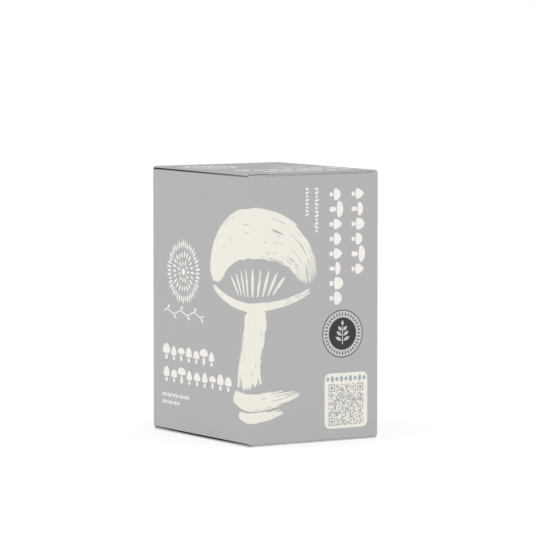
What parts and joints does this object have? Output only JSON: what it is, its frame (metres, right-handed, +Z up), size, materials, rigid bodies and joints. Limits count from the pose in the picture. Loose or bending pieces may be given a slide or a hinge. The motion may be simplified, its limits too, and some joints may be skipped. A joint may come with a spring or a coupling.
{
  "type": "mushroom grow kit carton",
  "caption": "Shut tuck-end carton of folding board with a lid hinged at the back and tucked in at the front; a film grow bag of substrate stands inside.",
  "frame": {"origin": "middle of the footprint, on the surface that the carton stands on", "axes": "+Z up; the front wall, which the lid tucks behind, faces -Y; +X is to the right of someone facing the front wall"},
  "size_m": [0.139, 0.113, 0.2005],
  "materials": {
    "printed_board": "matt grey printed paperboard",
    "bag_film": "clear soft film",
    "filter_membrane": "white pressed fibre",
    "mycelium": "matt, white growth over straw-coloured substrate"
  },
  "bodies": {
    "carton": {"carton_sleeve": "printed_board", "dust_flap_left": "printed_board", "dust_flap_right": "printed_board", "bottom_closure": "printed_board", "bottom_flap_left": "printed_board", "bottom_flap_right": "printed_board", "grow_bag": "bag_film", "filter_patch": "filter_membrane", "substrate_block": "mycelium"},
    "lid": {"lid": "printed_board"}
  },
  "joints": [
    {"name": "lid_hinge", "type": "hinge", "parent": "carton", "child": "lid", "pos_m": [0, 0.0565, 0.19949], "axis": [-1, 0, 0], "range_deg": [0, 120]}
  ]
}
